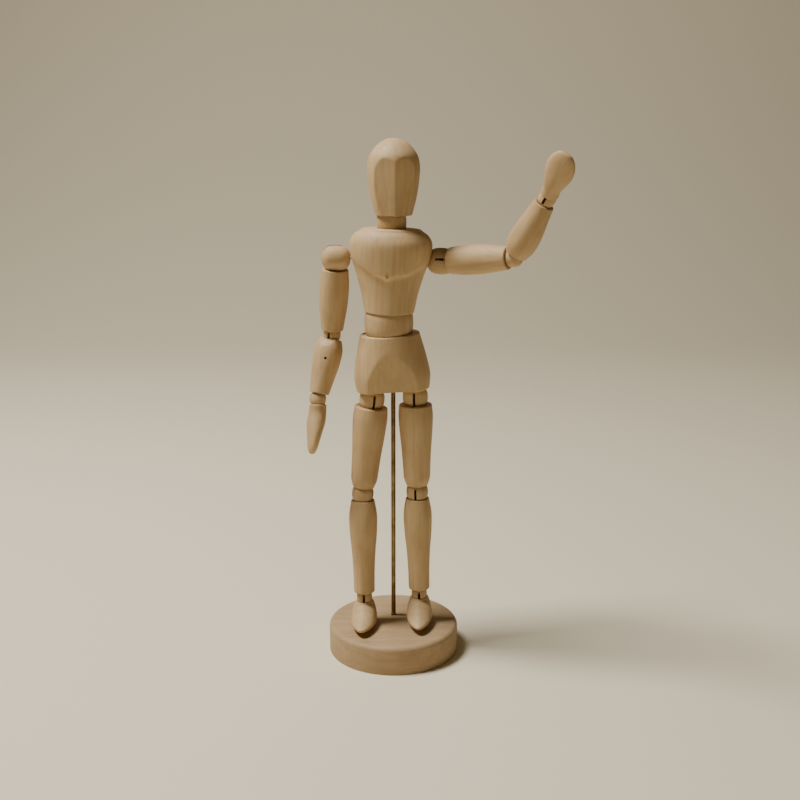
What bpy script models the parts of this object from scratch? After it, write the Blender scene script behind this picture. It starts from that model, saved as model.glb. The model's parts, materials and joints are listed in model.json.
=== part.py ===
"""Artist's drawing mannequin: turned wooden pieces on slotted balls, held together by hidden springs.

Metres, +Z up. The origin is the centre of the stand's underside. The figure faces -Y and its
left side is +X. Every limb is modelled hanging down -Z from the centre of the ball it swings on.
"""
import bmesh
import bpy
from math import cos, hypot, pi, radians, sin
from mathutils import Matrix, Vector

MM = 0.001

# Fits and mesh fineness
CLEARANCE = 0.3 * MM
SEGMENTS = 12
BALL_RINGS = 8
LOFT_SEGMENTS = 16
CUT_MARGIN = 2.0 * MM
SMOOTH_ANGLE = radians(40)

# Stand
BASE_RADIUS = 42.0 * MM
BASE_HEIGHT = 18.5 * MM
BASE_EDGE = 2.8 * MM
BASE_SEGMENTS = 32
ROD_RADIUS = 1.5 * MM
ROD_Y = 8.0 * MM
ROD_FOOT_Z = 5.0 * MM
ROD_SEAT = 20.0 * MM

# Trunk heights, all measured from the piece below
PELVIS_BOTTOM_Z = 174.7 * MM
PELVIS_HEIGHT = 35.7 * MM
WAIST_GAP = 6.8 * MM
NECK_HEIGHT = 61.3 * MM
HEAD_SHIFT = 1.3 * MM
TRUNK_Y = -1.0 * MM
SHOULDER_X = {"right": 33.4 * MM, "left": 31.0 * MM}
SHOULDER_Y = 4.2 * MM
SHOULDER_HEIGHT = 38.2 * MM
HIP_X = 13.6 * MM
HIP_DROP = 5.6 * MM

# Ball radii
WAIST_BALL = 15.6 * MM
NECK_BALL = 9.4 * MM
SHOULDER_BALL = 9.1 * MM
ELBOW_BALL = 5.7 * MM
WRIST_BALL = 5.3 * MM
HIP_BALL = 8.2 * MM
KNEE_BALL = 7.2 * MM
ANKLE_BALL = 5.2 * MM
BALL_BELLY = 0.95
SHOULDER_BELLY = 0.89

# Ball centre to ball centre
UPPER_ARM_LENGTH = 49.2 * MM
FOREARM_LENGTH = 41.4 * MM
THIGH_LENGTH = 62.5 * MM
SHIN_LENGTH = 69.7 * MM
# Where a limb stops short of the next ball's centre
LIMB_END = 3.5 * MM

# Slot in a ball for the link that swings, and the pocket for the link that turns
SLOT_WIDTH = 1.6 * MM
SLOT_REACH = 0.45
HIDDEN_SLOT = 0.55
POCKET_RADIUS = 2.45 * MM
POCKET_FLOOR = 0.95 * MM
SPRING_BORE = 2.9 * MM

# Steel wire: springs, links and screw eyes
WIRE = 0.35 * MM
COIL_RADIUS = 2.1 * MM
SWIVEL_RADIUS = 1.1 * MM
SWIVEL_X = 15.6 * MM
HEAD_RING = 1.15 * MM
RING_POINTS = 6
EYE_RADIUS = 1.55 * MM
EYE_POINTS = 8
EYE_OPENING = 45.0
EYE_DROP = EYE_RADIUS - 2 * WIRE - 0.25 * MM
YOKE_HALF = 1.6 * MM
YOKE_RISE = 2.3 * MM
YOKE_NECK = 3.7 * MM
COIL_POINTS = 6
COIL_PITCH = 2.4 * MM
LIMB_COIL = (0.25, 0.75)
TORSO_COIL = (0.33, 0.55)
HOOK_LENGTH = 18.0 * MM
FOOT_SCREW = 12.0 * MM
SCREW_HOLE = 0.8 * MM

# Pose of the figure as it stands, in degrees
PELVIS_LEAN = -3.4
CHEST_LEAN = 1.6
POSE = {
    "right": {
        "hip_splay": -9.2, "hip_turn": 12.0, "hip_bend": 0.0, "knee_turn": 55.0, "knee_bend": -6.9,
        "ankle_turn": -71.0, "ankle_bend": 0.0, "shoulder_turn": -82.0, "shoulder_bend": 87.4,
        "elbow_turn": -110.6, "elbow_bend": 23.8, "wrist_turn": -57.2, "wrist_bend": -11.0,
    },
    "left": {
        "hip_splay": -2.1, "hip_turn": -7.0, "hip_bend": 0.0, "knee_turn": -4.5, "knee_bend": 0.0,
        "ankle_turn": 8.5, "ankle_bend": 0.0, "shoulder_turn": -166.6, "shoulder_bend": 32.6,
        "elbow_turn": 72.0, "elbow_bend": 52.6, "wrist_turn": -94.4, "wrist_bend": 16.6,
    },
}
SIDES = {"right": -1, "left": 1}

# Turned outlines: distance from the upper ball's centre, radius, both in millimetres
UPPER_ARM_OUTLINE = ((6.8, 7.5), (7.6, 8.2), (17, 9.0), (29, 8.8), (39, 7.7), (45.0, 7.0), (45.7, 6.5))
FOREARM_OUTLINE = ((2.8, 6.3), (3.5, 7.1), (9, 8.8), (18, 8.8), (29, 7.3), (37.2, 6.2), (37.9, 5.7))
THIGH_OUTLINE = (
    (4.8, 9.7), (5.6, 10.4), (12, 10.9), (22, 10.4), (36, 9.1), (47, 8.4), (53, 8.0), (58.3, 6.7),
    (59.0, 6.2),
)
SHIN_OUTLINE = (
    (4.2, 6.9), (5.0, 7.5), (14, 8.7), (26, 8.2), (40, 6.8), (52, 6.2), (65.4, 6.1), (66.2, 5.5),
)

# Lofted outlines in millimetres: distance along, half width, half depth, shift toward the back
CHEST_SECTIONS = (
    (6.8, 14.9, 14.9, 0.0), (7.6, 15.4, 15.3, 0.0), (19, 17.6, 15.4, 0.2), (29.5, 20.4, 15.6, 0.6),
    (31.5, 21.2, 17.0, 0.0), (41, 24.4, 17.8, 0.0), (49, 25.1, 17.4, 0.0), (53.5, 22.9, 15.4, 0.0),
    (56.5, 18.8, 12.8, 0.0), (57.7, 14.6, 10.6, 0.0),
)
PELVIS_SECTIONS = (
    (0.0, 22.0, 16.4, 0.0), (1.4, 23.0, 17.2, 0.0), (9, 23.8, 17.8, 0.0), (19, 22.3, 17.4, 0.0),
    (34.5, 18.7, 16.2, 0.0), (35.7, 17.8, 15.4, 0.0),
)
HEAD_SECTIONS = (
    (4.2, 10.6, 11.5, 0.0), (5.2, 11.4, 12.4, 0.0), (15, 13.9, 15.0, 0.5), (25, 15.4, 17.0, 1.2),
    (33, 15.8, 17.6, 1.5), (39, 14.6, 16.4, 1.5), (44, 11.3, 12.8, 1.5), (47.4, 7.4, 8.4, 1.5),
    (49.4, 2.4, 2.8, 1.5),
)
HAND_SECTIONS = (
    (3.4, 4.9, 4.9, 0.0), (4.1, 5.4, 5.4, 0.0), (8, 5.3, 5.5, 0.1), (14, 6.9, 5.8, 0.8), (20, 8.4, 4.9, 1.6),
    (26, 8.4, 3.8, 2.3), (31, 6.6, 2.9, 2.8), (34.6, 3.0, 1.3, 3.1),
)
FOOT_SECTIONS = (
    (2.8, 5.0, 5.0, 0.0), (3.6, 5.6, 5.6, 0.0), (6.8, 6.8, 8.8, -2.4), (10.6, 7.6, 13.2, -5.8),
    (13.8, 7.9, 16.6, -8.2), (15.0, 7.6, 16.2, -8.1), (15.6, 7.0, 15.2, -7.7),
)
FOOT_TOE_TAPER = 0.45

# Flat facets cut on the fronts: height on the piece, distance from its axis, yaw and pitch in degrees
HEAD_FACET = (20.0, 12.6, 24.0, 7.2)
PELVIS_FACET = (0.0, 12.2, 0.0, 10.2)
FOREARM_FACET = (0.0, 1.4, 180.0, -40.0)
FACET_DEPTH = 24.0 * MM
FACET_SPAN = 60.0 * MM

WOOD = (0.62, 0.50, 0.34)
BASE_WOOD = (0.52, 0.39, 0.26)
STEEL = (0.40, 0.36, 0.30)
STEEL_ROUGHNESS = 0.35


def clear_scene():
    for item in list(bpy.data.objects):
        bpy.data.objects.remove(item)
    parts = bpy.data.collections.new("drawing_mannequin")
    tools = bpy.data.collections.new("cutters")
    for group in (parts, tools):
        bpy.context.scene.collection.children.link(group)
    return parts, tools


PARTS, CUTTERS = clear_scene()


def material(name, colour, roughness, metallic):
    made = bpy.data.materials.new(name)
    made.use_nodes = True
    shader = made.node_tree.nodes["Principled BSDF"]
    shader.inputs["Base Color"].default_value = (*colour, 1.0)
    shader.inputs["Roughness"].default_value = roughness
    shader.inputs["Metallic"].default_value = metallic
    return made


def place(item, parent, location, rotation):
    item.parent = parent
    item.location = location
    item.rotation_euler = rotation
    return item


def finish(item, colour=WOOD, roughness=0.6, metallic=0.0):
    """Put a finished piece in the part's collection with its own material, its round faces smooth."""
    PARTS.objects.link(item)
    if item.type == "MESH":
        item.data.shade_smooth()
        item.data.set_sharp_from_angle(angle=SMOOTH_ANGLE)
    item.data.materials.append(material(item.name + "_finish", colour, roughness, metallic))
    return item


def axis_empty(name, parent, location, rotation=(0.0, 0.0, 0.0)):
    """A guide that carries pieces on a joint's axis."""
    guide = bpy.data.objects.new(name, None)
    CUTTERS.objects.link(guide)
    return place(guide, parent, location, rotation)


def mesh_object(name, build):
    """A new object whose mesh is filled in by the build function."""
    mesh = bpy.data.meshes.new(name)
    shape = bmesh.new()
    build(shape)
    shape.to_mesh(mesh)
    shape.free()
    return bpy.data.objects.new(name, mesh)


def cutter(name, parent, build, location=(0.0, 0.0, 0.0), rotation=(0.0, 0.0, 0.0)):
    tool = mesh_object(name, build)
    CUTTERS.objects.link(tool)
    tool.hide_render = True
    tool.display_type = "WIRE"
    return place(tool, parent, location, rotation)


def cut(item, *tools):
    for tool in tools:
        trim = item.modifiers.new(tool.name, "BOOLEAN")
        trim.operation = "DIFFERENCE"
        trim.object = tool
    return item


def sphere(radius, belly=1.0):
    """A ball about Z. A belly below one flattens its sides to a drum of that share of the radius."""
    def build(shape):
        bmesh.ops.create_uvsphere(shape, u_segments=SEGMENTS, v_segments=BALL_RINGS, radius=radius)
        for corner in shape.verts:
            out = hypot(corner.co.x, corner.co.y)
            if out > belly * radius:
                corner.co.xy *= belly * radius / out
    return build


def rod(radius, low, high, segments=SEGMENTS):
    """A cylinder along Z between two heights."""
    def build(shape):
        facing = Matrix.Rotation(pi / segments / 2, 4, "Z")
        middle = Matrix.Translation((0.0, 0.0, (low + high) / 2)) @ facing
        bmesh.ops.create_cone(shape, cap_ends=True, segments=segments, radius1=radius, radius2=radius,
                              depth=high - low, matrix=middle)
    return build


def block(size, centre):
    def build(shape):
        where = Matrix.Translation(centre) @ Matrix.Diagonal((*size, 1.0))
        bmesh.ops.create_cube(shape, size=1.0, matrix=where)
    return build


def turned(name, outline, segments=SEGMENTS):
    """A turned solid: the outline runs from the axis at the top, down the side and back to the axis."""
    mesh = bpy.data.meshes.new(name)
    points = [(radius, 0.0, height) for radius, height in outline]
    mesh.from_pydata(points, [(i, i + 1) for i in range(len(points) - 1)], [])
    item = bpy.data.objects.new(name, mesh)
    lathe = item.modifiers.new("lathe", "SCREW")
    lathe.axis = "Z"
    lathe.steps = segments
    lathe.render_steps = segments
    lathe.use_merge_vertices = True
    lathe.merge_threshold = 0.00001
    return item


def loft(name, sections, heading, taper=0.0, side_shift=0.0):
    """A solid through oval sections stacked along Z. A taper narrows the -Y end of each oval."""
    def build(shape):
        rings = []
        for along, half_width, half_depth, shift in sections:
            ring = []
            for i in range(LOFT_SEGMENTS):
                angle = 2 * pi * i / LOFT_SEGMENTS
                x = half_width * cos(angle) * (1 + taper * sin(angle))
                y = half_depth * sin(angle) + shift
                ring.append(shape.verts.new(Vector((x * MM + side_shift, y * MM, heading * along * MM))))
            rings.append(ring)
        for lower, upper in zip(rings, rings[1:]):
            for i in range(LOFT_SEGMENTS):
                j = (i + 1) % LOFT_SEGMENTS
                shape.faces.new((lower[i], lower[j], upper[j], upper[i]))
        shape.faces.new(reversed(rings[0]))
        shape.faces.new(rings[-1])
        bmesh.ops.recalc_face_normals(shape, faces=shape.faces)
    return mesh_object(name, build)


def facet_cutter(name, parent, facet, yaw_sign=1, side_shift=0.0):
    """A block whose near face is a flat facet on a piece. Without yaw it is on the front."""
    height, reach, yaw, pitch = facet
    size = (FACET_SPAN, FACET_DEPTH, FACET_SPAN)
    turn = (radians(pitch), 0.0, radians(yaw) * yaw_sign)
    hinge = axis_empty(name + "_hinge", parent, (side_shift, 0.0, height * MM), turn)
    return cutter(name, hinge, block(size, (0.0, -reach * MM - FACET_DEPTH / 2, 0.0)))


def socket(name, ball, radius):
    """The hollow for a ball. Its flats clear the ball by the clearance."""
    snug = (radius + CLEARANCE) / (cos(pi / SEGMENTS) * cos(pi / BALL_RINGS / 2))
    return cutter(name, ball, sphere(snug), rotation=(0.0, 0.0, pi / SEGMENTS))


def wire(name, points, parent, location=(0.0, 0.0, 0.0), rotation=(0.0, 0.0, 0.0)):
    """A steel wire through the given points."""
    curve = bpy.data.curves.new(name, "CURVE")
    curve.dimensions = "3D"
    curve.bevel_depth = WIRE
    curve.bevel_resolution = 0
    curve.use_fill_caps = True
    spline = curve.splines.new("POLY")
    spline.points.add(len(points) - 1)
    for slot, point in zip(spline.points, points):
        slot.co = (*point, 1.0)
    item = bpy.data.objects.new(name, curve)
    finish(item, STEEL, STEEL_ROUGHNESS, 1.0)
    return place(item, parent, location, rotation)


def eye_points(heading):
    """A round eye about the ball's cross axis, its shank leaving along the heading."""
    centre = Vector((0.0, 0.0, heading * EYE_DROP))
    points = []
    for step in range(EYE_POINTS):
        angle = radians(EYE_OPENING + step * 2 * (180 - EYE_OPENING) / (EYE_POINTS - 1))
        points.append(centre + EYE_RADIUS * Vector((0.0, sin(angle), heading * cos(angle))))
    points.append(Vector((0.0, 0.0, heading * (EYE_DROP + EYE_RADIUS + 2 * WIRE))))
    return points


def yoke_points(end, heading, phase):
    """An open yoke whose bar lies on the ball's cross axis, reached along the heading."""
    spin = Matrix.Rotation(radians(phase), 3, "Z")
    shape = ((0.0, YOKE_NECK), (-YOKE_HALF, YOKE_RISE), (-YOKE_HALF, 0.0), (YOKE_HALF, 0.0),
             (YOKE_HALF, YOKE_RISE - 2 * WIRE))
    return [spin @ Vector((x, 0.0, end - heading * back)) for x, back in shape]


def coil_points(start, end, heading, radius=COIL_RADIUS):
    """The turns of a spring between two heights on the Z axis."""
    turns = max(1, int(abs(end - start) / COIL_PITCH))
    count = turns * COIL_POINTS
    points = []
    for i in range(count + 1):
        angle = 2 * pi * i / COIL_POINTS
        height = start + (end - start) * i / count
        points.append(Vector((radius * cos(angle), radius * sin(angle) * heading, height)))
    return points


def limb_spring(name, limb, length, heading, phase, coil=LIMB_COIL):
    """Eye on the upper ball, coils in the bore, yoke in the lower ball."""
    end = heading * length
    points = eye_points(heading)
    start = Vector((0.0, 0.0, end * coil[0]))
    finish_height = Vector((0.0, 0.0, end * coil[1]))
    points.append(start - Vector((0.0, 0.0, heading * COIL_PITCH)))
    points += coil_points(start.z, finish_height.z, heading)
    points.append(finish_height + Vector((0.0, 0.0, heading * COIL_PITCH)))
    points += yoke_points(end, heading, phase)
    return wire(name, points, limb)


def limb_link(name, limb, length, heading, phase):
    """A plain wire link with an eye on the upper ball and a yoke in the lower one."""
    return wire(name, eye_points(heading) + yoke_points(heading * length, heading, phase), limb)


def screw_eye(name, piece, heading, length=HOOK_LENGTH):
    """An eye on a ball, with its shank screwed into the piece that swings there."""
    points = eye_points(heading)
    points.append(Vector((0.0, 0.0, heading * length)))
    return wire(name, points, piece)


def screw_yoke(name, piece, location, rotation, heading):
    """A yoke in a ball, with its shank screwed into the piece that carries the ball."""
    points = [Vector((0.0, 0.0, -heading * HOOK_LENGTH))]
    points += yoke_points(0.0, heading, 0.0)
    return wire(name, points, piece, location, rotation)


def ball(name, parent, location, turn, radius, belly=BALL_BELLY, heading=-1, slot_half=None):
    """A wooden ball, slotted toward the piece that swings and bored toward the piece that carries it.

    The slot runs right across the ball unless a half length keeps it inside the cups.
    """
    item = mesh_object(name, sphere(radius, belly))
    place(item, parent, location, (0.0, 0.0, radians(turn)))
    outside = radius + CUT_MARGIN
    slot_ends = sorted((heading * outside, -heading * SLOT_REACH * radius))
    slot_size = (SLOT_WIDTH, 2 * (slot_half or outside), slot_ends[1] - slot_ends[0])
    slot = cutter(name + "_slot", item, block(slot_size, (0.0, 0.0, sum(slot_ends) / 2)))
    pocket_ends = sorted((heading * POCKET_FLOOR, -heading * outside))
    pocket = cutter(name + "_pocket", item, rod(POCKET_RADIUS, *pocket_ends))
    cut(item, pocket, slot)
    finish(item)
    item["radius"] = radius
    return item


def limb(name, upper_ball, bend, outline, length):
    """A turned limb, its outline drawn out to the length, with a cup at each end and a spring bore."""
    first, last = outline[0][0], outline[-1][0]
    stretch = (length - LIMB_END - first * MM) / (last - first)
    side = [(radius * MM, -first * MM - (along - first) * stretch) for along, radius in outline]
    item = turned(name, [(0.0, side[0][1])] + side + [(0.0, side[-1][1])])
    place(item, upper_ball, (0.0, 0.0, 0.0), (radians(bend), 0.0, 0.0))
    bore = cutter(name + "_bore", item, rod(SPRING_BORE, -length, 0.0))
    cut(item, bore, socket(name + "_upper_cup", item, upper_ball["radius"]))
    return finish(item)


def lower_cup(item, lower_ball):
    return cut(item, socket(item.name + "_lower_cup", lower_ball, lower_ball["radius"]))


def build_stand():
    rim = BASE_RADIUS - BASE_EDGE
    outline = ((0.0, BASE_HEIGHT), (rim, BASE_HEIGHT), (BASE_RADIUS, BASE_HEIGHT - BASE_EDGE),
               (BASE_RADIUS, 0.0), (0.0, 0.0))
    base = turned("base", outline, BASE_SEGMENTS)
    hole = rod(ROD_RADIUS + CLEARANCE, ROD_FOOT_Z - CLEARANCE, BASE_HEIGHT + CUT_MARGIN)
    cut(base, cutter("base_rod_hole", base, hole, (0.0, ROD_Y, 0.0)))
    finish(base, BASE_WOOD)
    stem = mesh_object("stand_rod", rod(ROD_RADIUS, ROD_FOOT_Z, PELVIS_BOTTOM_Z + ROD_SEAT))
    finish(stem, STEEL, STEEL_ROUGHNESS, 1.0)
    place(stem, None, (0.0, ROD_Y, 0.0), (0.0, 0.0, 0.0))


def build_pelvis():
    turn_axis = axis_empty("figure_turn_axis", None, (0.0, ROD_Y, PELVIS_BOTTOM_Z))
    pelvis = loft("pelvis", PELVIS_SECTIONS, 1)
    place(pelvis, turn_axis, (0.0, -ROD_Y, 0.0), (0.0, radians(PELVIS_LEAN), 0.0))
    hole = rod(ROD_RADIUS + CLEARANCE, -CUT_MARGIN, ROD_SEAT + 2 * CLEARANCE)
    cut(pelvis, cutter("pelvis_rod_hole", turn_axis, hole))
    cut(pelvis, facet_cutter("pelvis_facet", pelvis, PELVIS_FACET))
    waist_axis = axis_empty("waist_axis", pelvis, (0.0, TRUNK_Y, PELVIS_HEIGHT + WAIST_GAP),
                            (0.0, radians(CHEST_LEAN - PELVIS_LEAN), 0.0))
    waist = ball("waist_ball", waist_axis, (0.0, 0.0, 0.0), 0.0, WAIST_BALL, heading=1,
                 slot_half=HIDDEN_SLOT * WAIST_BALL)
    cut(pelvis, socket("pelvis_waist_cup", waist, WAIST_BALL))
    deep = HOOK_LENGTH + 2 * CLEARANCE
    cut(pelvis, cutter("pelvis_waist_bore", waist_axis, rod(SCREW_HOLE, -WAIST_BALL - deep, 0.0)))
    screw_points = [Vector((0.0, 0.0, -WAIST_BALL - HOOK_LENGTH))] + yoke_points(0.0, 1, 0.0)
    wire("waist_hook", screw_points, waist_axis)
    finish(pelvis)
    return pelvis, waist


def build_chest(waist):
    chest = loft("chest", CHEST_SECTIONS, 1)
    place(chest, waist, (0.0, 0.0, 0.0), (0.0, 0.0, 0.0))
    cut(chest, cutter("chest_bore", chest, rod(SPRING_BORE, 0.0, NECK_HEIGHT)))
    across = rod(SPRING_BORE, -SHOULDER_X["right"], SHOULDER_X["left"])
    shoulder_line = (0.0, SHOULDER_Y, SHOULDER_HEIGHT)
    cut(chest, cutter("chest_shoulder_bore", chest, across, shoulder_line, (0.0, pi / 2, 0.0)))
    cut(chest, socket("chest_waist_cup", waist, WAIST_BALL))
    neck_axis = axis_empty("neck_axis", chest, (0.0, 0.0, NECK_HEIGHT), (0.0, radians(-CHEST_LEAN), 0.0))
    neck = ball("neck", neck_axis, (0.0, 0.0, 0.0), 0.0, NECK_BALL, heading=1,
                slot_half=HIDDEN_SLOT * NECK_BALL)
    cut(chest, socket("chest_neck_cup", neck, NECK_BALL))
    limb_spring("torso_spring", chest, NECK_HEIGHT, 1, 0.0, TORSO_COIL)
    finish(chest)
    return chest, neck


def build_head(neck):
    head = loft("head", HEAD_SECTIONS, 1, side_shift=HEAD_SHIFT)
    place(head, neck, (0.0, 0.0, 0.0), (0.0, 0.0, 0.0))
    for yaw_sign in (-1, 1):
        cut(head, facet_cutter("head_facet_%d" % yaw_sign, head, HEAD_FACET, yaw_sign, HEAD_SHIFT))
    cut(head, cutter("head_bore", head, rod(SCREW_HOLE, 0.0, HOOK_LENGTH + 2 * CLEARANCE)))
    cut(head, socket("head_cup", neck, NECK_BALL))
    screw_eye("head_eye", head, 1)
    finish(head)


def build_shoulder_spring(chest):
    """A spring across the chest. Its narrow end coils hold the two swivelling shoulder hooks."""
    left_end = coil_points(-SWIVEL_X - COIL_PITCH, -SWIVEL_X, 1, SWIVEL_RADIUS)
    right_end = coil_points(SWIVEL_X, SWIVEL_X + COIL_PITCH, 1, SWIVEL_RADIUS)
    wide_half = SWIVEL_X - COIL_PITCH / 2
    wire("shoulder_spring", left_end + coil_points(-wide_half, wide_half, 1) + right_end, chest,
         (0.0, SHOULDER_Y, SHOULDER_HEIGHT), (0.0, pi / 2, 0.0))


def shoulder_hook(name, shoulder, reach):
    """A yoke in the shoulder ball whose shank ends in a ring, free to swivel inside the chest spring."""
    ring_height = reach - SWIVEL_X + COIL_PITCH
    points = []
    for step in range(RING_POINTS):
        angle = -2 * pi * (step + 1) / RING_POINTS
        points.append(Vector((HEAD_RING * cos(angle), HEAD_RING * sin(angle), ring_height)))
    points.append(Vector((0.0, 0.0, ring_height - 2 * WIRE)))
    points += yoke_points(0.0, -1, 0.0)
    wire(name, points, shoulder)


def build_arm(chest, name, side):
    pose = POSE[name]
    axis = axis_empty("shoulder_axis_" + name, chest, (side * SHOULDER_X[name], SHOULDER_Y, SHOULDER_HEIGHT),
                      (0.0, -side * pi / 2, 0.0))
    shoulder = ball("shoulder_ball_" + name, axis, (0.0, 0.0, 0.0), pose["shoulder_turn"], SHOULDER_BALL,
                    SHOULDER_BELLY)
    cut(chest, socket("chest_shoulder_cup_" + name, shoulder, SHOULDER_BALL))
    shoulder_hook("shoulder_hook_" + name, shoulder, SHOULDER_X[name])
    shoulder_bend = pose["shoulder_bend"]
    upper_arm = limb("upper_arm_" + name, shoulder, shoulder_bend, UPPER_ARM_OUTLINE, UPPER_ARM_LENGTH)
    limb_spring("upper_arm_spring_" + name, upper_arm, UPPER_ARM_LENGTH, -1, pose["elbow_turn"])
    arm_end = (0.0, 0.0, -UPPER_ARM_LENGTH)
    elbow = ball("elbow_ball_" + name, upper_arm, arm_end, pose["elbow_turn"], ELBOW_BALL)
    lower_cup(upper_arm, elbow)
    forearm = limb("forearm_" + name, elbow, pose["elbow_bend"], FOREARM_OUTLINE, FOREARM_LENGTH)
    cut(forearm, facet_cutter("forearm_facet_" + name, forearm, FOREARM_FACET))
    limb_link("forearm_link_" + name, forearm, FOREARM_LENGTH, -1, pose["wrist_turn"])
    wrist = ball("wrist_ball_" + name, forearm, (0.0, 0.0, -FOREARM_LENGTH), pose["wrist_turn"], WRIST_BALL)
    lower_cup(forearm, wrist)
    hand = loft("hand_" + name, HAND_SECTIONS, -1)
    place(hand, wrist, (0.0, 0.0, 0.0), (radians(pose["wrist_bend"]), 0.0, 0.0))
    bore = cutter("hand_bore_" + name, hand, rod(SCREW_HOLE, -HOOK_LENGTH - 2 * CLEARANCE, 0.0))
    cut(hand, bore, socket("hand_cup_" + name, wrist, WRIST_BALL))
    finish(hand)
    screw_eye("hand_eye_" + name, hand, -1)


def build_leg(pelvis, name, side):
    pose = POSE[name]
    place_on_pelvis = (side * HIP_X, 0.0, -HIP_DROP)
    axis = axis_empty("hip_axis_" + name, pelvis, place_on_pelvis, (0.0, -radians(pose["hip_splay"]), 0.0))
    hip = ball("hip_ball_" + name, axis, (0.0, 0.0, 0.0), pose["hip_turn"], HIP_BALL)
    cut(pelvis, socket("pelvis_hip_cup_" + name, hip, HIP_BALL))
    cut(pelvis, cutter("pelvis_hip_bore_" + name, axis, rod(SCREW_HOLE, 0.0, HOOK_LENGTH + 2 * CLEARANCE)))
    screw_yoke("hip_hook_" + name, axis, (0.0, 0.0, 0.0), (0.0, 0.0, 0.0), -1)
    thigh = limb("thigh_" + name, hip, pose["hip_bend"], THIGH_OUTLINE, THIGH_LENGTH)
    limb_spring("thigh_spring_" + name, thigh, THIGH_LENGTH, -1, pose["knee_turn"])
    knee = ball("knee_ball_" + name, thigh, (0.0, 0.0, -THIGH_LENGTH), pose["knee_turn"], KNEE_BALL)
    lower_cup(thigh, knee)
    shin = limb("shin_" + name, knee, pose["knee_bend"], SHIN_OUTLINE, SHIN_LENGTH)
    limb_link("shin_link_" + name, shin, SHIN_LENGTH, -1, pose["ankle_turn"])
    ankle = ball("ankle_ball_" + name, shin, (0.0, 0.0, -SHIN_LENGTH), pose["ankle_turn"], ANKLE_BALL)
    lower_cup(shin, ankle)
    foot = loft("foot_" + name, FOOT_SECTIONS, -1, FOOT_TOE_TAPER)
    place(foot, ankle, (0.0, 0.0, 0.0), (radians(pose["ankle_bend"]), 0.0, 0.0))
    bore = cutter("foot_bore_" + name, foot, rod(SCREW_HOLE, -FOOT_SCREW - 2 * CLEARANCE, 0.0))
    cut(foot, bore, socket("foot_cup_" + name, ankle, ANKLE_BALL))
    finish(foot)
    screw_eye("foot_eye_" + name, foot, -1, FOOT_SCREW)


build_stand()
PELVIS, WAIST = build_pelvis()
CHEST, NECK = build_chest(WAIST)
build_head(NECK)
build_shoulder_spring(CHEST)
for SIDE_NAME, SIDE in SIDES.items():
    build_arm(CHEST, SIDE_NAME, SIDE)
    build_leg(PELVIS, SIDE_NAME, SIDE)
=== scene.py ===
"""Looks for the artist's drawing mannequin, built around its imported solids.

Every wooden piece is made again with fine turned or carved surfaces in its own frame, which comes
from the joints, and rides on the body it stands for. Lengths in the tables are millimetres.
"""

import json
from bisect import bisect
from math import atan2, cos, exp, log, pi, radians, sin, sqrt

import bmesh
import bpy
from mathutils import Matrix, Vector


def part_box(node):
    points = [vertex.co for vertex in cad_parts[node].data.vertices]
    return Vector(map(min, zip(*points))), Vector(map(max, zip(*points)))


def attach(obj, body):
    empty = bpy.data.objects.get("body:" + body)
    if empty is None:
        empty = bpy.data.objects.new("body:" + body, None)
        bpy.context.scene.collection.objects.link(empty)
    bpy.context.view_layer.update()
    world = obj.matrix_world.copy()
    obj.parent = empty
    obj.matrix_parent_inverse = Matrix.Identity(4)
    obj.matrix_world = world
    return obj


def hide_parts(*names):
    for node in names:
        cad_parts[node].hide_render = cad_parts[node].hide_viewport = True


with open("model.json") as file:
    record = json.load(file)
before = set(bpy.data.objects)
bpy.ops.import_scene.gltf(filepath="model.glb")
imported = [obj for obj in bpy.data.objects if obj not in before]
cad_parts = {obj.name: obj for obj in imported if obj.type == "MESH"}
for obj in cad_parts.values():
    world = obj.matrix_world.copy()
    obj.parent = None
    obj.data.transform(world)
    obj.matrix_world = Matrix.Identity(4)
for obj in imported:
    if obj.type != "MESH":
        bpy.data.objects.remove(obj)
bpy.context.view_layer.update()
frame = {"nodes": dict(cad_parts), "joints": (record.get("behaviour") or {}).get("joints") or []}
JOINTS = {joint["name"]: joint for joint in frame["joints"]}
SIDES = {"right": -1, "left": 1}
# These turn the other way round, so that a plus brings the toes in on both legs
MIRRORED = ("hip_turn_left", "knee_turn_left", "ankle_turn_left")

MM = 0.001
CLEARANCE = 0.3
SHARP_ANGLE = radians(55)

# Mesh fineness
TURN_STEPS = 72
CARVE_STEPS = 192
SPAN_STEPS = 10
ROUND_STEPS = 6
CUP_STEPS = 8
CAP_STEPS = 6
FLAT_CAP_STEPS = 24
NOTCH_STEPS = 12
BEND_STEPS = 16

# Stand
BASE_EDGE = 2.8
BASE_FOOT_EDGE = 0.5
ROD_TIP_EDGE = 0.3

# Ball radii
BALLS = {
    "waist": 15.6, "neck": 9.4, "shoulder": 9.1, "elbow": 5.7, "wrist": 5.3, "hip": 8.2, "knee": 7.2,
    "ankle": 5.2,
}
# How far a ball's sides are flattened to a drum, and how crisply
BALL_BELLY = (0.97, 40)
SHOULDER_BELLY = (0.98, 7)
SLOT_WIDTH = 1.6
SLOT_REACH = 0.45
HIDDEN_SLOT = 0.55
POCKET_RADIUS = 2.45
POCKET_FLOOR = 0.95
SPRING_BORE = 2.9
SLOT_MARGIN = 2.0

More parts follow.
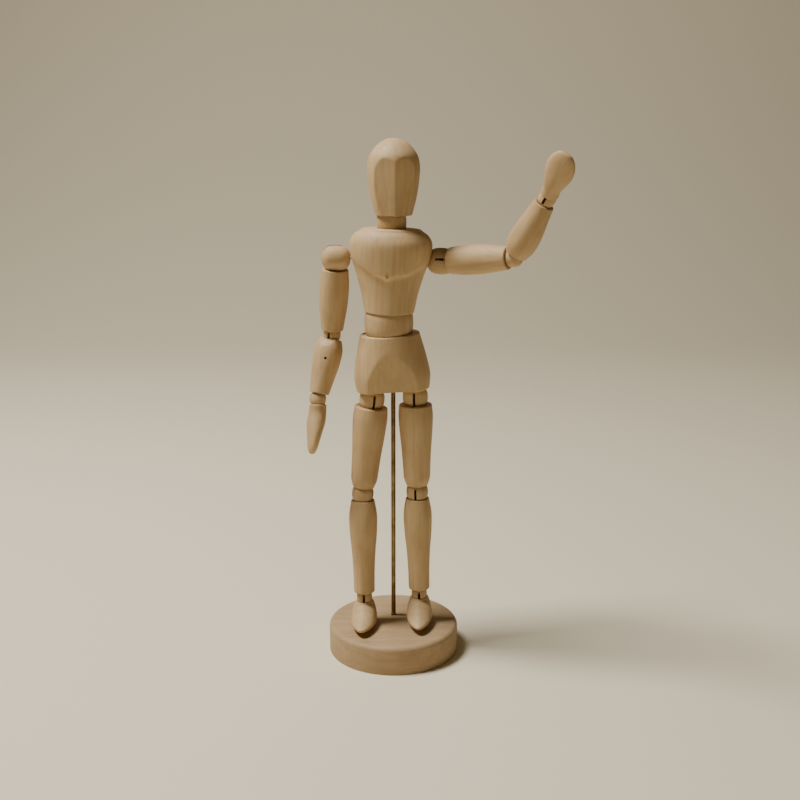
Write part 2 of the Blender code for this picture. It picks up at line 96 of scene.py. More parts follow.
# Turned outlines: distance from the upper ball's centre, radius
UPPER_ARM = ((6.8, 7.5), (7.6, 8.2), (17, 9.0), (29, 8.8), (39, 7.7), (45.0, 7.0), (45.7, 6.5))
FOREARM = ((2.8, 6.3), (3.5, 7.1), (9, 8.8), (18, 8.8), (29, 7.3), (37.2, 6.2), (37.9, 5.7))
THIGH = (
    (4.8, 9.7), (5.6, 10.4), (12, 10.9), (22, 10.4), (36, 9.3), (47, 8.7), (53, 8.3), (56.9, 7.1),
    (57.8, 6.4),
)
SHIN = ((4.2, 6.9), (5.0, 7.6), (14, 9.0), (26, 8.8), (40, 7.6), (52, 7.0), (65.2, 6.8), (66.2, 6.1))

# Carved outlines: distance along, half width, half depth, shift toward the back
CHEST = (
    (6.8, 14.9, 14.9, 0.0), (7.6, 15.4, 15.3, 0.0), (19, 17.6, 16.0, 0.0), (28, 20.1, 16.8, 0.0),
    (31, 21.0, 17.1, 0.0), (41, 24.4, 17.8, 0.0), (49, 25.1, 17.4, 0.0), (53.5, 22.9, 15.4, 0.0),
    (56.5, 18.8, 12.8, 0.0), (57.7, 14.6, 10.6, 0.0),
)
PELVIS = (
    (0.0, 22.0, 16.4, 0.0), (1.4, 23.0, 17.2, 0.0), (9, 23.8, 17.8, 0.0), (19, 22.3, 17.4, 0.0),
    (34.5, 18.7, 16.2, 0.0), (35.7, 17.8, 15.4, 0.0),
)
HEAD = (
    (4.2, 10.6, 11.5, 0.0), (5.2, 11.4, 12.4, 0.0), (15, 13.9, 15.0, 0.5), (25, 15.4, 17.0, 1.2),
    (33, 15.8, 17.6, 1.5), (39, 14.6, 16.4, 1.5), (44, 11.3, 12.8, 1.5), (47.4, 7.4, 8.4, 1.5),
    (49.0, 3.6, 4.1, 1.5), (49.5, 0.0, 0.0, 1.5),
)
# How far the head's egg stands to the figure's left
HEAD_SHIFT = 1.3
HAND = (
    (3.4, 4.9, 4.9, 0.0), (4.1, 5.4, 5.4, 0.0), (8, 5.3, 5.5, 0.1), (14, 6.9, 5.8, 0.8),
    (20, 8.4, 4.9, 1.6), (26, 8.4, 3.8, 2.3), (31, 6.6, 2.9, 2.8), (34.2, 3.6, 1.5, 3.1),
    (34.9, 0.0, 0.0, 3.1),
)
FOOT = (
    (2.8, 5.0, 5.0, 0.0), (3.6, 5.6, 5.6, 0.0), (6.8, 6.8, 8.8, -2.4), (10.6, 7.6, 13.2, -5.8),
    (13.8, 7.9, 16.6, -8.2), (15.0, 7.6, 16.2, -8.1), (15.6, 7.0, 15.2, -7.7),
)
# How much narrower a foot is toward its toe, and how blunt the toe is
TOE_TAPER = 0.36
TOE_BLUNTNESS = 0.8

# Flats carved on the fronts: height on the piece, distance from its axis, yaw and pitch in degrees
HEAD_FLAT = (20.0, 12.6, 24.0, 7.2)
# How far both flats of the head are turned together
HEAD_TURN = 4.0
PELVIS_FLAT = (0.0, 12.2, 0.0, 10.2)
FOREARM_FLAT = (0.0, 1.4, 180.0, -40.0)
FLAT_BLOCK = 30.0
# The small dark pit in the right forearm: distance along, degrees round the axis, radius, depth
FOREARM_PIT = (15.7, 106.0, 0.85, 3.0)
FLAT_SOFTNESS = 0.12
# Points further inside a flat than this many softnesses stay where they are
FLAT_REACH = 8

# The step under the breast: height at the middle, rise toward the arms, drop and half width of its tip,
# how far the tip is off the middle, how deep and how soft the step is, and the largest exponent used
BREAST_LINE = 29.6
BREAST_RISE = 12.5
BREAST_TIP = (1.3, 2.4)
BREAST_SIDE = -1.7
BREAST_STEP = 1.8
BREAST_SOFTNESS = 0.6
BREAST_EXPONENT = 40.0
# The nick at its tip: height, half length, half width, distance in front of the axis
BREAST_NOTCH = (30.8, 3.2, 1.1, 17.1)

# How the hands stand on their wrists at rest, in degrees
WRIST_BEND = {"right": -11.0, "left": 16.6}

# Camera, in metres and radians, with its sensor and lens in millimetres
CAMERA_PLACE = (0.0043, -0.677, 0.335)
CAMERA_PITCH = radians(90 - 13.88)
SENSOR = 36.0
LENS = 50.0

# Studio, in metres: the lamps with place, size and power, what they point at, and the curved paper
LAMPS = (("key", (-0.62, -0.05, 1.44), 0.4, 32.0), ("fill", (-0.4, -1.4, 0.7), 1.2, 0.3))
LAMP_TARGET = (0.0, 0.0, 0.16)
SKY_COLOUR = (1.0, 0.82, 0.48, 1)
SKY_STRENGTH = 0.09
PAPER_COLOUR = (0.80, 0.71, 0.52, 1)
PAPER_ROUGHNESS = 0.9
PAPER_FRONT = -3.0
PAPER_BEND = 1.0
PAPER_RADIUS = 0.8
PAPER_TOP = 3.0
PAPER_HALF_WIDTH = 4.0

# Wood and steel: how a noise is drawn out along the grain, and how far a piece's grain may be shifted
GRAIN_UP = (1.0, 1.0, 0.06)
GRAIN_ACROSS = (0.06, 1.0, 1.0)
NO_GRAIN = (1.0, 1.0, 1.0)
GRAIN_SHIFT = (3.1, 5.3, 1.7)


def joint_frame(spot, across, up):
    """The frame at a joint's place with X along one joint's axis and Z along another's."""
    x_axis = Vector(JOINTS[across]["axis"]).normalized()
    z_axis = Vector(JOINTS[up]["axis"]).normalized() * (-1 if up in MIRRORED else 1)
    turned = Matrix((x_axis, z_axis.cross(x_axis), z_axis)).transposed()
    return Matrix.Translation(Vector(JOINTS[spot]["pos_m"])) @ turned.to_4x4()


def pelvis_frame():
    """Its bottom centre is over the stand's middle, and it leans toward the waist."""
    bottom = Vector((0.0, 0.0, JOINTS["figure_turn"]["pos_m"][2]))
    up = Vector(JOINTS["waist_turn"]["pos_m"]) - bottom
    up.y = 0.0
    up.normalize()
    y_axis = Vector((0.0, 1.0, 0.0))
    leaned = Matrix((y_axis.cross(up), y_axis, up)).transposed()
    return Matrix.Translation(bottom) @ leaned.to_4x4()


def smooth_path(points):
    """A curve through the points that doesn't swing out where they lie close together."""
    points = [Vector(p) for p in points]
    padded = [2 * points[0] - points[1]] + points + [2 * points[-1] - points[-2]]
    path = []
    for a, b, c, d in zip(padded, padded[1:], padded[2:], padded[3:]):
        ab, bc, cd = (sqrt((q - p).length) for p, q in ((a, b), (b, c), (c, d)))
        leave = (b - a) / ab - (c - a) / (ab + bc) + (c - b) / bc
        arrive = (c - b) / bc - (d - b) / (bc + cd) + (d - c) / cd
        for step in range(SPAN_STEPS):
            t = step / SPAN_STEPS
            h = (2 * t**3 - 3 * t**2 + 1, t**3 - 2 * t**2 + t, 3 * t**2 - 2 * t**3, t**3 - t**2)
            path.append(h[0] * b + h[1] * bc * leave + h[2] * c + h[3] * bc * arrive)
    path.append(points[-1])
    return path


def rounded(start, end):
    """A quarter round from a flat end to a side. A point's first number runs along the piece."""
    start, end = Vector(start), Vector(end)
    path = []
    for step in range(ROUND_STEPS):
        angle = pi / 2 * step / ROUND_STEPS
        point = start + (end - start) * sin(angle)
        point[0] = start[0] + (end[0] - start[0]) * (1 - cos(angle))
        path.append(point)
    return path


def mesh_piece(name, rings, closed=False):
    """A mesh skinned over rings of points. A ring of one point is a pole."""
    shape = bmesh.new()
    skin = [[shape.verts.new(Vector(p) * MM) for p in ring] for ring in rings]
    pairs = list(zip(skin, skin[1:]))
    if closed:
        pairs.append((skin[-1], skin[0]))
    for low, high in pairs:
        count = max(len(low), len(high))
        for i in range(count):
            j = (i + 1) % count
            corners = [low[i % len(low)], low[j % len(low)], high[j % len(high)], high[i % len(high)]]
            shape.faces.new([v for k, v in enumerate(corners) if v not in corners[:k]])
    bmesh.ops.recalc_face_normals(shape, faces=shape.faces)
    mesh = bpy.data.meshes.new(name)
    shape.to_mesh(mesh)
    shape.free()
    piece = bpy.data.objects.new(name, mesh)
    bpy.context.scene.collection.objects.link(piece)
    return piece


def circle(radius, height, steps=TURN_STEPS, centre=(0.0, 0.0)):
    """A level ring of points, or one point where the radius is nothing."""
    if radius == 0.0:
        return [(centre[0], centre[1], height)]
    angles = (2 * pi * i / steps for i in range(steps))
    return [(centre[0] + radius * cos(a), centre[1] + radius * sin(a), height) for a in angles]


def lathe(name, outline, closed=False):
    """A turned piece from its outline of radius and height."""
    return mesh_piece(name, [circle(radius, height) for radius, height in outline], closed)


def cut(piece, tool):
    """Takes the tool's shape out of the piece and removes the tool."""
    trim = piece.modifiers.new("cut", "BOOLEAN")
    trim.operation = "DIFFERENCE"
    trim.object = tool
    bpy.context.view_layer.update()
    done = bpy.data.meshes.new_from_object(piece.evaluated_get(bpy.context.evaluated_depsgraph_get()))
    piece.modifiers.clear()
    piece.data = done
    bpy.data.objects.remove(tool)


def block(low, high):
    """A box between two corners, as a tool."""
    corners = [(low[0], low[1]), (high[0], low[1]), (high[0], high[1]), (low[0], high[1])]
    floor, top = ([(x, y, z) for x, y in corners] for z in (low[2], high[2]))
    centre = ((low[0] + high[0]) / 2, (low[1] + high[1]) / 2)
    return mesh_piece("block_tool", [[(*centre, low[2])], floor, top, [(*centre, high[2])]])


def drill(name, radius, low, high):
    """A plain round tool along Z."""
    return lathe(name, [(0.0, low), (radius, low), (radius, high), (0.0, high)])


def finish(piece, place, body, cad_node, material):
    """Smooths a piece, puts it in its frame and lets it ride there in place of the CAD node."""
    mesh = piece.data
    mesh.shade_smooth()
    mesh.set_sharp_from_angle(angle=SHARP_ANGLE)
    mesh.materials.clear()
    mesh.materials.append(material)
    piece.matrix_world = place
    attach(piece, body)
    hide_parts(cad_node)


def ball(name, radius, belly=BALL_BELLY, heading=-1, slot_half=None):
    """A ball with a slot toward the piece that swings and a pocket toward the piece that carries it."""
    steps = TURN_STEPS // 2
    angles = [pi * i / steps for i in range(1, steps)]
    share, crisp = belly
    outline = [(0.0, radius)]
    for angle in angles:
        width = (sin(angle) ** -crisp + share**-crisp) ** (-1 / crisp)
        outline.append((radius * width, radius * cos(angle)))
    piece = lathe(name, outline + [(0.0, -radius)])
    outside = radius + SLOT_MARGIN
    pocket = sorted((heading * POCKET_FLOOR, -heading * outside))
    cut(piece, drill("pocket_tool", POCKET_RADIUS, *pocket))
    reach = sorted((heading * outside, -heading * SLOT_REACH * radius))
    half = slot_half or outside
    cut(piece, block((-SLOT_WIDTH / 2, -half, reach[0]), (SLOT_WIDTH / 2, half, reach[1])))
    return piece


def cup_arc(radius, plane, bore):
    """Points down a cup's hollow, from its bore to its mouth in a plane off the ball's centre."""
    cup = radius + CLEARANCE
    first, last = (atan2(r, sqrt(cup**2 - r**2)) for r in (bore, sqrt(cup**2 - plane**2)))
    angles = [first + (last - first) * i / CUP_STEPS for i in range(CUP_STEPS + 1)]
    return [(cup * cos(a), cup * sin(a)) for a in angles]


def limb(name, outline, length, upper_ball, lower_ball):
    """A turned limb hanging down -Z, with a cup at each end and the spring's bore right through."""
    top, bottom = outline[0][0], length - outline[-1][0]
    line = cup_arc(upper_ball, top, SPRING_BORE)
    line += rounded(outline[0], outline[1])
    line += smooth_path(outline[1:-1])[:-1]
    edge = rounded((bottom, outline[-1][1]), (length - outline[-2][0], outline[-2][1]))
    line += [outline[-2]] + [(length - along, radius) for along, radius in reversed(edge)]
    cup = cup_arc(lower_ball, bottom, SPRING_BORE)
    line += [(length - along, radius) for along, radius in reversed(cup)]
    return lathe(name, [(radius, -along) for along, radius in line], closed=True)


def oval(section, heading, taper, side_shift):
    """A ring of a carved piece, narrower toward the front by the taper."""
    along, half_width, half_depth, shift = section
    if half_width == 0.0:
        return [(side_shift, shift, heading * along)]
    ring = []
    for i in range(CARVE_STEPS):
        angle = 2 * pi * i / CARVE_STEPS
        x = half_width * cos(angle) * (1 + taper * sin(angle)) + side_shift
        front = sin(angle)
        if taper and front < 0:
            front = -abs(front) ** TOE_BLUNTNESS
        ring.append((x, half_depth * front + shift, heading * along))
    return ring


def cap(ring, centre, cup):
    """Rings from an end's edge in to the mouth of a ball's cup, and up the cup to its pole."""
    height = ring[0][2]
    inward = 1 if height > centre[2] else -1
    mouth = sqrt(cup**2 - (height - centre[2]) ** 2)
    target = [Vector(p) for p in circle(mouth, height, CARVE_STEPS, centre[:2])]
    rings = []
    for step in range(1, CAP_STEPS + 1):
        rings.append([Vector(p).lerp(q, step / CAP_STEPS) for p, q in zip(ring, target)])
    start = atan2(mouth, abs(height - centre[2]))
    for step in range(1, CUP_STEPS + 1):
        angle = start * (1 - step / CUP_STEPS)
        radius = cup * sin(angle) if step < CUP_STEPS else 0.0
        rings.append(circle(radius, centre[2] + inward * cup * cos(angle), CARVE_STEPS, centre[:2]))
    return rings


def flat_cap(ring):
    """Rings across a plain end."""
    centre = sum((Vector(p) for p in ring), Vector()) / len(ring)
    shares = [step / FLAT_CAP_STEPS for step in range(1, FLAT_CAP_STEPS)]
    return [[Vector(p).lerp(centre, share) for p in ring] for share in shares] + [[centre]]


def tilted(flat, yaw_sign=1, turn=0.0):
    """How a flat is turned on its piece. Without yaw it is on the front."""
    yaw = Matrix.Rotation(radians(flat[2] * yaw_sign + turn), 3, "Z")
    return yaw @ Matrix.Rotation(radians(flat[3]), 3, "X")


def soft_flat(flat, yaw_sign=1, side_shift=0.0, turn=0.0):
    """Moves points that stand proud of a flat back onto it, with a softened edge."""
    reach = flat[1]
    hinge = Vector((side_shift, 0.0, flat[0]))
    out = tilted(flat, yaw_sign, turn) @ Vector((0.0, -1.0, 0.0))

    def carve(point):
        proud = out.dot(point - hinge) - reach
        if proud < -FLAT_REACH * FLAT_SOFTNESS:
            return point
        kept = -FLAT_SOFTNESS * log(1 + exp(-proud / FLAT_SOFTNESS))
        return point + out * (kept - proud)
    return carve


def cut_flat(piece, flat):
    """Planes a crisp flat on a piece."""
    reach = flat[1]
    tool = block((-FLAT_BLOCK, -reach - FLAT_BLOCK, -FLAT_BLOCK), (FLAT_BLOCK, -reach, FLAT_BLOCK))
    tool.matrix_world = tilted(flat).to_4x4()
    cut(piece, tool)


def sampled(path, along):
    """The section of a path at a distance along it."""
    index = max(1, min(len(path) - 1, bisect([section[0] for section in path], along)))
    low, high = path[index - 1], path[index]
    return low.lerp(high, max(0.0, min(1.0, (along - low[0]) / (high[0] - low[0]))))


def pit_tool(outline, pit):
    """A small round pit in the side of a turned limb."""
    along, angle, radius, depth = pit
    surface = sampled(smooth_path(outline[1:-1]), along)[1]
    tool = drill("pit_tool", radius, -depth, SLOT_MARGIN)
    outward = Matrix.Translation(Vector((surface, 0.0, -along)) * MM) @ Matrix.Rotation(pi / 2, 4, "Y")
    tool.matrix_world = Matrix.Rotation(radians(angle), 4, "Z") @ outward
    return tool


def carved_path(sections, blunt_end=True):
    """The sections from end to end, smoothed between and rounded at a blunt end."""
    path = rounded(sections[0], sections[1])
    if blunt_end:
        path += smooth_path(sections[1:-1])[:-1]
        path += reversed(rounded(sections[-1], sections[-2]) + [Vector(sections[-2])])
    else:
        path += smooth_path(sections[1:])
    return path


def chest_rings():
    """The front is set back below the breast, on a bowed line with a small tip in the middle."""
    path = carved_path(CHEST)
    first, last = CHEST[0][0], CHEST[-1][0]
    drop, tip_width = BREAST_TIP
    rings = []
    for along, half_width, _, _ in path:
        fade = (along - first) / (BREAST_LINE - first)
        near = min(fade, (last - along) / (last - BREAST_LINE))
        below = 1 / (1 + exp(min(BREAST_EXPONENT, (along - BREAST_LINE) / BREAST_SOFTNESS)))
        ring = []
        for i in range(CARVE_STEPS):
            angle = 2 * pi * i / CARVE_STEPS
            front = max(0.0, -sin(angle))
            tip = front * drop * exp(-(((half_width * cos(angle) - BREAST_SIDE) / tip_width) ** 2))
            height = along + near * (BREAST_RISE * (1 - abs(sin(angle))) - tip)
            _, wide, deep, _ = sampled(path, height)
            y = deep * sin(angle) + BREAST_STEP * below * fade * front
            ring.append(Vector((wide * cos(angle), y, height)))
        rings.append(ring)
    return rings


def pressed(rings, centre, cup):
    """Pushes points out of a ball's cup."""
    centre = Vector(centre)
    done = []
    for ring in rings:
        row = []
        for point in ring:
            away = Vector(point) - centre
            row.append(centre + away.normalized() * cup if away.length < cup else Vector(point))
        done.append(row)
    return done


def carved(sections, heading, carvers=(), taper=0.0, blunt_end=True, side_shift=0.0):
    """Rings of a carved piece between its ends."""
    rings = []
    for section in carved_path(sections, blunt_end):
        ring = [Vector(p) for p in oval(section, heading, taper, side_shift)]
        for carver in carvers:
            ring = [carver(p) for p in ring]
        rings.append(ring)
    return rings


def node(tree, kind, inputs=None, **settings):
    """A shader node with its settings and its inputs' values."""
    made = tree.nodes.new(kind)
    for key, value in settings.items():
        setattr(made, key, value)
    for key, value in (inputs or {}).items():
        made.inputs[key].default_value = value
    return made


def mix(tree, factor, a, b, blend="MIX"):
    """A colour mix. Each input is a socket or a value."""
    made = node(tree, "ShaderNodeMix", data_type="RGBA", blend_type=blend)
    for socket, value in ((made.inputs["Factor"], factor), (made.inputs[6], a), (made.inputs[7], b)):
        if isinstance(value, bpy.types.NodeSocket):
            tree.links.new(value, socket)
        else:
            socket.default_value = value
    return made.outputs[2]


def ramp(tree, source, low, high, out_low=0.0, out_high=1.0):
    """Spreads a value from one range over another."""
    values = {"From Min": low, "From Max": high, "To Min": out_low, "To Max": out_high}
    made = node(tree, "ShaderNodeMapRange", values)
    tree.links.new(source, made.inputs["Value"])
    return made.outputs["Result"]


def noise(tree, coordinates, scale, stretch, detail=4.0, distortion=0.0):
    """Noise in the piece's own coordinates, drawn out along the grain."""
    spread = node(tree, "ShaderNodeMapping", {"Scale": stretch})
    tree.links.new(coordinates, spread.inputs["Vector"])
    made = node(tree, "ShaderNodeTexNoise", {"Scale": scale, "Detail": detail, "Distortion": distortion})
    tree.links.new(spread.outputs["Vector"], made.inputs["Vector"])
    return made.outputs["Fac"]


def piece_coordinates(tree):
    """Object coordinates, shifted for each piece so that no two share their grain."""
    place = node(tree, "ShaderNodeTexCoord")
    info = node(tree, "ShaderNodeObjectInfo")
    shift = node(tree, "ShaderNodeVectorMath", operation="SCALE")
    shift.inputs[0].default_value = GRAIN_SHIFT
    tree.links.new(info.outputs["Random"], shift.inputs["Scale"])
    total = node(tree, "ShaderNodeVectorMath", operation="ADD")
    tree.links.new(place.outputs["Object"], total.inputs[0])
    tree.links.new(shift.outputs["Vector"], total.inputs[1])
    return total.outputs["Vector"], info.outputs["Random"]


def wood(name, light, dark, fleck, along):
    """Pale close-grained wood, sanded and left bare. Along is the stretch that draws the grain out."""
    made = bpy.data.materials.new(name)
    made.use_nodes = True
    tree = made.node_tree
    shader = tree.nodes["Principled BSDF"]
    place, chance = piece_coordinates(tree)
    fibre = noise(tree, place, 1500.0, along, 5.0, 0.3)
    band = noise(tree, place, 260.0, along, 3.0, 1.2)
    cloud = noise(tree, place, 45.0, NO_GRAIN, 2.0)
    pore = noise(tree, place, 3600.0, along, 2.0)
    tone = mix(tree, ramp(tree, band, 0.36, 0.66), light, dark)
    tone = mix(tree, ramp(tree, fibre, 0.35, 0.75, 0.0, 0.5), tone, dark)
    tone = mix(tree, ramp(tree, pore, 0.62, 0.78, 0.0, 0.45), tone, fleck)
    tone = mix(tree, ramp(tree, cloud, 0.3, 0.7, 0.0, 0.22), tone, fleck, "MULTIPLY")
    tone = mix(tree, ramp(tree, chance, 0.0, 1.0, 0.0, 0.12), tone, fleck, "MULTIPLY")
    shape = node(tree, "ShaderNodeNewGeometry")
    # Convex edges are mixed toward the light tone: partly wear, partly a painted highlight along the
    # rims.
    wear_and_painted_edge_highlight = ramp(tree, shape.outputs["Pointiness"], 0.52, 0.60, 0.0, 0.35)
    tone = mix(tree, wear_and_painted_edge_highlight, tone, light)
    # Hollows, creases and cup mouths are darkened toward the fleck tone: painted shade.
    painted_crease_shade = ramp(tree, shape.outputs["Pointiness"], 0.49, 0.42, 0.0, 0.55)
    tone = mix(tree, painted_crease_shade, tone, fleck, "MULTIPLY")
    tree.links.new(tone, shader.inputs["Base Color"])
    tree.links.new(ramp(tree, fibre, 0.3, 0.7, 0.5, 0.68), shader.inputs["Roughness"])
    shader.inputs["Specular IOR Level"].default_value = 0.35
    relief = node(tree, "ShaderNodeBump", {"Strength": 0.25, "Distance": 0.00012})
    tree.links.new(fibre, relief.inputs["Height"])
    tree.links.new(relief.outputs["Normal"], shader.inputs["Normal"])
    return made


def steel(name, bright, stain, along):
    """Drawn steel, dulled by handling."""
    made = bpy.data.materials.new(name)
    made.use_nodes = True
    tree = made.node_tree
    shader = tree.nodes["Principled BSDF"]
    place, _ = piece_coordinates(tree)
    streak = noise(tree, place, 1800.0, along, 3.0)
    patch = noise(tree, place, 160.0, NO_GRAIN, 4.0, 0.6)
    tone = mix(tree, ramp(tree, patch, 0.4, 0.7), bright, stain)
    tone = mix(tree, ramp(tree, streak, 0.4, 0.7, 0.0, 0.4), tone, stain)
    tree.links.new(tone, shader.inputs["Base Color"])
    tree.links.new(ramp(tree, patch, 0.3, 0.7, 0.3, 0.5), shader.inputs["Roughness"])
    shader.inputs["Metallic"].default_value = 1.0
    relief = node(tree, "ShaderNodeBump", {"Strength": 0.2, "Distance": 0.00005})
    tree.links.new(streak, relief.inputs["Height"])
    tree.links.new(relief.outputs["Normal"], shader.inputs["Normal"])
    return made


FIGURE_WOOD = wood(
    "pale_turned_wood", (0.655, 0.465, 0.25, 1), (0.565, 0.38, 0.18, 1), (0.38, 0.24, 0.10, 1), GRAIN_UP
)
STAND_WOOD = wood(
    "stand_wood", (0.52, 0.36, 0.20, 1), (0.45, 0.30, 0.15, 1), (0.29, 0.18, 0.08, 1), GRAIN_ACROSS
)
# The rod's warm brown colours are a painted reflection of yellow surroundings, laid into the steel's own
# colour.
ROD_STEEL_PAINTED_WARM_REFLECTION = steel("rod_steel_painted_warm_reflection", (0.32, 0.23, 0.11, 1), (0.19, 0.13, 0.06, 1), GRAIN_UP)
WIRE_STEEL = steel("spring_wire_steel", (0.22, 0.20, 0.17, 1), (0.12, 0.10, 0.08, 1), NO_GRAIN)


def wooden(piece, place, body):
    """Finishes a piece of the figure in place of the CAD node it is named after."""
    finish(piece, place, body, piece.name.removesuffix("_fine"), FIGURE_WOOD)


def build_stand():
    low, high = (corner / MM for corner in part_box("base"))
    radius, height = high.x, high.z
    side = rounded((0.0, radius - BASE_FOOT_EDGE), (BASE_FOOT_EDGE, radius))
    side += [Vector((BASE_FOOT_EDGE, radius)), Vector((height - BASE_EDGE, radius))]
    edge = rounded((0.0, radius - BASE_EDGE), (BASE_EDGE, radius))
    side += [Vector((height - along, r)) for along, r in reversed(edge)]
    outline = [(0.0, low.z)] + [(r, z) for z, r in side] + [(0.0, height)]
    base = lathe("base_fine", outline)
    rod_low, rod_high = (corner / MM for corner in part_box("stand_rod"))
    rod_radius = (rod_high.x - rod_low.x) / 2
    rod_y = (rod_low.y + rod_high.y) / 2
    tool = drill("hole_tool", rod_radius + CLEARANCE, rod_low.z - CLEARANCE, height + SLOT_MARGIN)
    tool.location.y = rod_y * MM
    cut(base, tool)
    finish(base, Matrix.Identity(4), "stand", "base", STAND_WOOD)
    tip = rounded((0.0, rod_radius - ROD_TIP_EDGE), (ROD_TIP_EDGE, rod_radius))
    tip.append(Vector((ROD_TIP_EDGE, rod_radius)))
    outline = [(0.0, rod_low.z)] + [(r, rod_low.z + along) for along, r in tip]
    outline += [(r, rod_high.z - along) for along, r in reversed(tip)] + [(0.0, rod_high.z)]
    stem = lathe("stand_rod_fine", outline)
    place = Matrix.Translation((0.0, rod_y * MM, 0.0))
    finish(stem, place, "stand", "stand_rod", ROD_STEEL_PAINTED_WARM_REFLECTION)


def local(place, joint):
    """A joint's place in a piece's own frame, in millimetres."""
    return place.inverted() @ Vector(JOINTS[joint]["pos_m"]) / MM


def rod_hole(place):
    """The stand's rod as a tool in a piece's own frame, with its clearance."""
    low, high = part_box("stand_rod")
    radius = (high.x - low.x) / 2 / MM + CLEARANCE
    top = high.z / MM + CLEARANCE
    bottom = JOINTS["figure_turn"]["pos_m"][2] / MM - SLOT_MARGIN
    tool = drill("hole_tool", radius, bottom, top)
    tool.matrix_world = place.inverted() @ Matrix.Translation((0.0, (low.y + high.y) / 2, 0.0))
    return tool


def breast_notch():
    """A small leaf-shaped nick at the middle of the breast line."""
    height, half_length, half_width, reach = BREAST_NOTCH
    outline = [(0.0, -half_length)]
    for i in range(1, NOTCH_STEPS):
        along = 2 * i / NOTCH_STEPS - 1
        outline.append((half_width * (1 - along**2), half_length * along))
    tool = lathe("notch_tool", outline + [(0.0, half_length)])
    tool.location = Vector((BREAST_SIDE, -reach, height)) * MM
    return tool


def trunk_ball(node_name, kind):
    """A ball of the trunk, whose slot opens upward and is too short to show."""
    radius = BALLS[kind]
    return ball(node_name + "_fine", radius, heading=1, slot_half=HIDDEN_SLOT * radius)


def build_trunk():
    pelvis_place = pelvis_frame()
    rings = carved(PELVIS, 1, [soft_flat(PELVIS_FLAT)])
    top = cap(rings[-1], local(pelvis_place, "waist_turn"), BALLS["waist"] + CLEARANCE)
    rings = list(reversed(flat_cap(rings[0]))) + rings
    for side in SIDES:
        rings = pressed(rings, local(pelvis_place, "hip_turn_" + side), BALLS["hip"] + CLEARANCE)
    pelvis = mesh_piece("pelvis_fine", rings + top)
    cut(pelvis, rod_hole(pelvis_place))
    wooden(pelvis, pelvis_place, "pelvis")
    waist_place = joint_frame("waist_bend", "waist_bend", "waist_turn")
    wooden(trunk_ball("waist_ball", "waist"), waist_place, "waist_ball")
    rings = chest_rings()
    for side in SIDES:
        rings = pressed(rings, local(waist_place, "shoulder_turn_" + side), BALLS["shoulder"] + CLEARANCE)
    bottom = cap(rings[0], Vector(), BALLS["waist"] + CLEARANCE)
    top = cap(rings[-1], local(waist_place, "neck_turn"), BALLS["neck"] + CLEARANCE)
    chest = mesh_piece("chest_fine", list(reversed(bottom)) + rings + top)
    cut(chest, breast_notch())
    wooden(chest, waist_place, "chest")
    neck_place = joint_frame("head_nod", "head_nod", "neck_turn")
    wooden(trunk_ball("neck", "neck"), neck_place, "neck")
    facets = [soft_flat(HEAD_FLAT, sign, HEAD_SHIFT, HEAD_TURN) for sign in (1, -1)]
    rings = carved(HEAD, 1, facets, blunt_end=False, side_shift=HEAD_SHIFT)
    bottom = cap(rings[0], Vector(), BALLS["neck"] + CLEARANCE)
    wooden(mesh_piece("head_fine", list(reversed(bottom)) + rings), neck_place, "head")


def span(first, second):
    """Distance between two joints in millimetres."""
    return (Vector(JOINTS[first]["pos_m"]) - Vector(JOINTS[second]["pos_m"])).length / MM


def build_ball(kind, side):
    """A ball of an arm or a leg. Returns its frame."""
    bend = "%s_bend_%s" % (kind, side)
    place = joint_frame(bend, bend, "%s_turn_%s" % (kind, side))
    body = "%s_ball_%s" % (kind, side)
    belly = SHOULDER_BELLY if kind == "shoulder" else BALL_BELLY
    wooden(ball(body + "_fine", BALLS[kind], belly), place, body)
    return place


def build_limb(name, outline, upper, lower, side, flat=None, pit=None):
    bend, turn = "%s_bend_%s" % (upper, side), "%s_turn_%s" % (lower, side)
    body = "%s_%s" % (name, side)
    piece = limb(body + "_fine", outline, span(bend, turn), BALLS[upper], BALLS[lower])
    if flat:
        cut_flat(piece, flat)
    if pit:
        cut(piece, pit_tool(outline, pit))
    wooden(piece, joint_frame(bend, bend, turn), body)


def build_end(name, kind, sections, place, side, taper=0.0, blunt_end=True):
    rings = carved(sections, -1, (), taper, blunt_end)
    top = cap(rings[0], Vector(), BALLS[kind] + CLEARANCE)
    if blunt_end:
        rings += flat_cap(rings[-1])
    body = "%s_%s" % (name, side)
    wooden(mesh_piece(body + "_fine", list(reversed(top)) + rings), place, body)


def build_side(side):
    for kind in ("shoulder", "elbow", "hip", "knee"):
        build_ball(kind, side)
    build_limb("upper_arm", UPPER_ARM, "shoulder", "elbow", side)
    pit = FOREARM_PIT if side == "right" else None
    build_limb("forearm", FOREARM, "elbow", "wrist", side, FOREARM_FLAT, pit)
    build_limb("thigh", THIGH, "hip", "knee", side)
    build_limb("shin", SHIN, "knee", "ankle", side)
    wrist = build_ball("wrist", side)
    ankle = build_ball("ankle", side)
    hand_place = wrist @ Matrix.Rotation(radians(WRIST_BEND[side]), 4, "X")
    build_end("hand", "wrist", HAND, hand_place, side, blunt_end=False)
    build_end("foot", "ankle", FOOT, ankle, side, TOE_TAPER)


def dress_wires():
    """The springs, hooks and eyes stay as they were packed, in dull wire."""
    for item in frame["nodes"].values():
        if not item.hide_render:
            item.data.materials.clear()
            item.data.materials.append(WIRE_STEEL)


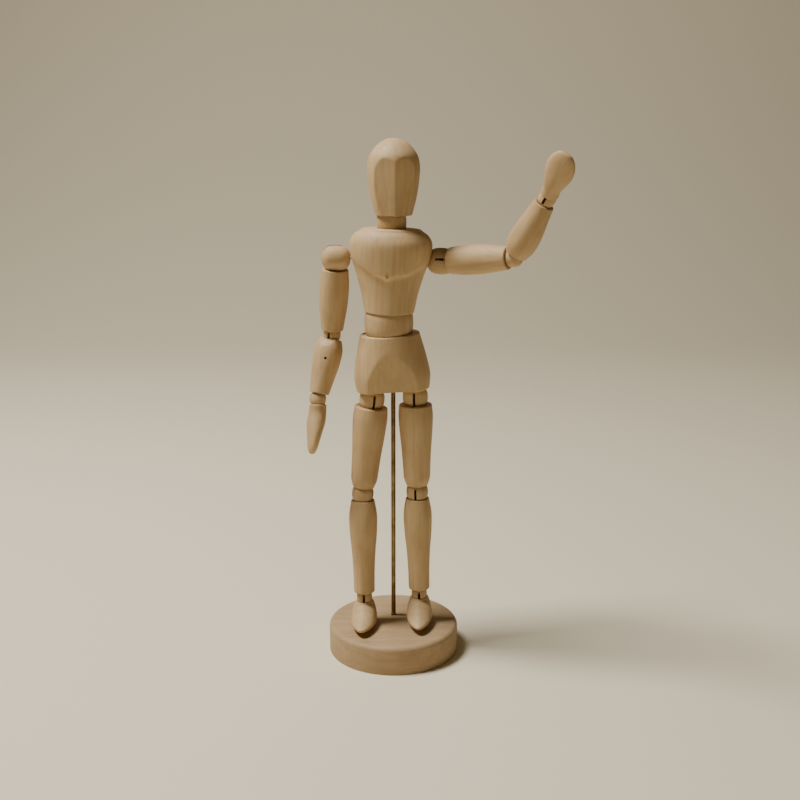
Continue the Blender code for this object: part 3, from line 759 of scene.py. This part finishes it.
def add(name, data):
    """A new object in the scene."""
    item = bpy.data.objects.new(name, data)
    bpy.context.scene.collection.objects.link(item)
    return item


def build_floor():
    """Plain paper that lies flat under the figure and curves up behind it."""
    line = [(PAPER_FRONT, 0.0), (PAPER_BEND, 0.0)]
    for i in range(1, BEND_STEPS + 1):
        angle = pi / 2 * i / BEND_STEPS
        line.append((PAPER_BEND + PAPER_RADIUS * sin(angle), PAPER_RADIUS - PAPER_RADIUS * cos(angle)))
    line.append((PAPER_BEND + PAPER_RADIUS, PAPER_TOP))
    points = [(x, y, z) for y, z in line for x in (-PAPER_HALF_WIDTH, PAPER_HALF_WIDTH)]
    faces = [(2 * i, 2 * i + 1, 2 * i + 3, 2 * i + 2) for i in range(len(line) - 1)]
    mesh = bpy.data.meshes.new("floor")
    mesh.from_pydata(points, [], faces)
    mesh.shade_smooth()
    paper = bpy.data.materials.new("studio_paper")
    paper.use_nodes = True
    shader = paper.node_tree.nodes["Principled BSDF"]
    shader.inputs["Base Color"].default_value = PAPER_COLOUR
    shader.inputs["Roughness"].default_value = PAPER_ROUGHNESS
    mesh.materials.append(paper)
    floor = add("floor", mesh)


def build_light():
    for name, spot, size, power in LAMPS:
        lamp = bpy.data.lights.new(name, "AREA")
        lamp.size = size
        lamp.energy = power
        item = add(name, lamp)
        item.location = spot
        aim = Vector(LAMP_TARGET) - Vector(spot)
        item.rotation_euler = aim.to_track_quat("-Z", "Y").to_euler()
    world = bpy.data.worlds.new("studio")
    world.use_nodes = True
    sky = world.node_tree.nodes["Background"]
    sky.inputs["Color"].default_value = SKY_COLOUR
    sky.inputs["Strength"].default_value = SKY_STRENGTH
    bpy.context.scene.world = world


def build_camera():
    camera = bpy.data.cameras.new("camera")
    camera.sensor_width = SENSOR
    camera.lens = LENS
    item = add("camera", camera)
    item.location = CAMERA_PLACE
    item.rotation_euler = (CAMERA_PITCH, 0.0, 0.0)
    bpy.context.scene.camera = item


build_stand()
build_trunk()
for SIDE in SIDES:
    build_side(SIDE)
dress_wires()
build_floor()
build_light()
build_camera()
